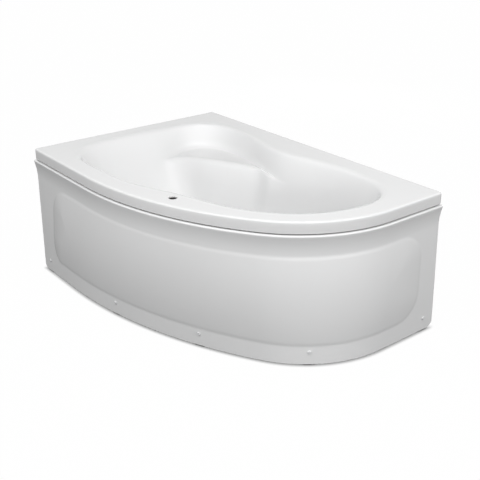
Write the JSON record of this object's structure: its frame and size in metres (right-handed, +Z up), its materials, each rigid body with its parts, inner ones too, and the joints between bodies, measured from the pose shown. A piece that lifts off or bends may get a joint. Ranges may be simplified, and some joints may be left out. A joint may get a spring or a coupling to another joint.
{
  "type": "corner bathtub",
  "caption": "Asymmetric corner bathtub with moulded tub, corner seat, curved front panel, steel frame on levelling feet, and pop-up waste with overflow.",
  "frame": {"origin": "on the floor, under the centre of the bounding box", "axes": "+X along the long wall towards the narrow end, +Y towards the long wall, +Z up"},
  "size_m": [1.519, 1.0142, 0.59],
  "materials": {
    "acrylic": "gloss, moulded sanitary acrylic",
    "cap_plastic": "satin moulded cap",
    "frame_paint": "powder coat",
    "zinc_steel": "bright zinc plate",
    "pad_plastic": "moulded",
    "batten_wood": "planed softwood",
    "board_wood": "pressed chipboard",
    "chrome": "polished",
    "seal_rubber": "moulded",
    "pipe_plastic": "moulded polypropylene",
    "hose_plastic": "ribbed",
    "cable_plastic": "extruded sleeve"
  },
  "bodies": {
    "root": {"base_board": "board_wood", "control_cable": "cable_plastic", "front_batten": "batten_wood", "front_panel": "acrylic", "front_rail": "frame_paint", "hose_nuts": "pipe_plastic", "left_cross_rail": "frame_paint", "lock_nuts": "zinc_steel", "long_wall_batten": "batten_wood", "middle_cross_rail": "frame_paint", "middle_outrigger": "frame_paint", "outlet_pipe": "pipe_plastic", "overflow_body": "pipe_plastic", "overflow_gasket": "seal_rubber", "overflow_hose": "hose_plastic", "overflow_rosette": "chrome", "panel_clips": "zinc_steel", "panel_floor_brackets": "zinc_steel", "panel_screws": "zinc_steel", "rail_nuts": "zinc_steel", "rear_rail": "frame_paint", "right_cross_rail": "frame_paint", "rim_post_1": "frame_paint", "rim_post_2": "frame_paint", "rim_post_3": "frame_paint", "rim_post_4": "frame_paint", "rim_post_5": "frame_paint", "screw_caps": "cap_plastic", "short_wall_batten": "batten_wood", "trap_body": "pipe_plastic", "tub_shell": "acrylic", "union_nut": "pipe_plastic", "wall_hanger_long_left": "zinc_steel", "wall_hanger_long_right": "zinc_steel", "wall_hanger_short": "zinc_steel", "waste_body": "pipe_plastic", "waste_flange": "chrome", "waste_gasket": "seal_rubber"},
    "foot_1": {"leg_stud_1": "zinc_steel", "foot_pad_1": "pad_plastic"},
    "foot_2": {"leg_stud_2": "zinc_steel", "foot_pad_2": "pad_plastic"},
    "foot_3": {"leg_stud_3": "zinc_steel", "foot_pad_3": "pad_plastic"},
    "foot_4": {"leg_stud_4": "zinc_steel", "foot_pad_4": "pad_plastic"},
    "foot_5": {"leg_stud_5": "zinc_steel", "foot_pad_5": "pad_plastic"},
    "plug": {"waste_plug": "chrome", "plug_seal": "seal_rubber", "plug_lifter": "pipe_plastic"},
    "knob": {"overflow_knob": "chrome"}
  },
  "joints": [
    {"name": "foot_1_level", "type": "slide", "parent": "root", "child": "foot_1", "axis": [0, 0, -1], "range_m": [-0.015, 0.025]},
    {"name": "foot_2_level", "type": "slide", "parent": "root", "child": "foot_2", "axis": [0, 0, -1], "range_m": [-0.015, 0.025]},
    {"name": "foot_3_level", "type": "slide", "parent": "root", "child": "foot_3", "axis": [0, 0, -1], "range_m": [-0.015, 0.025]},
    {"name": "foot_4_level", "type": "slide", "parent": "root", "child": "foot_4", "axis": [0, 0, -1], "range_m": [-0.015, 0.025]},
    {"name": "foot_5_level", "type": "slide", "parent": "root", "child": "foot_5", "axis": [0, 0, -1], "range_m": [-0.015, 0.025]},
    {"name": "overflow_knob_turn", "type": "hinge", "parent": "root", "child": "knob", "pos_m": [0.46656, -0.13163, 0.512], "axis": [-0.6304, 0.7517, 0.1936], "range_deg": [0, 100]},
    {"name": "waste_plug_lift", "type": "slide", "parent": "root", "child": "plug", "axis": [0, 0, 1], "range_m": [0, 0.012]}
  ],
  "couplings": [
    {"joint": "waste_plug_lift", "follows": "overflow_knob_turn", "m_per_rad": 0.006875}
  ]
}
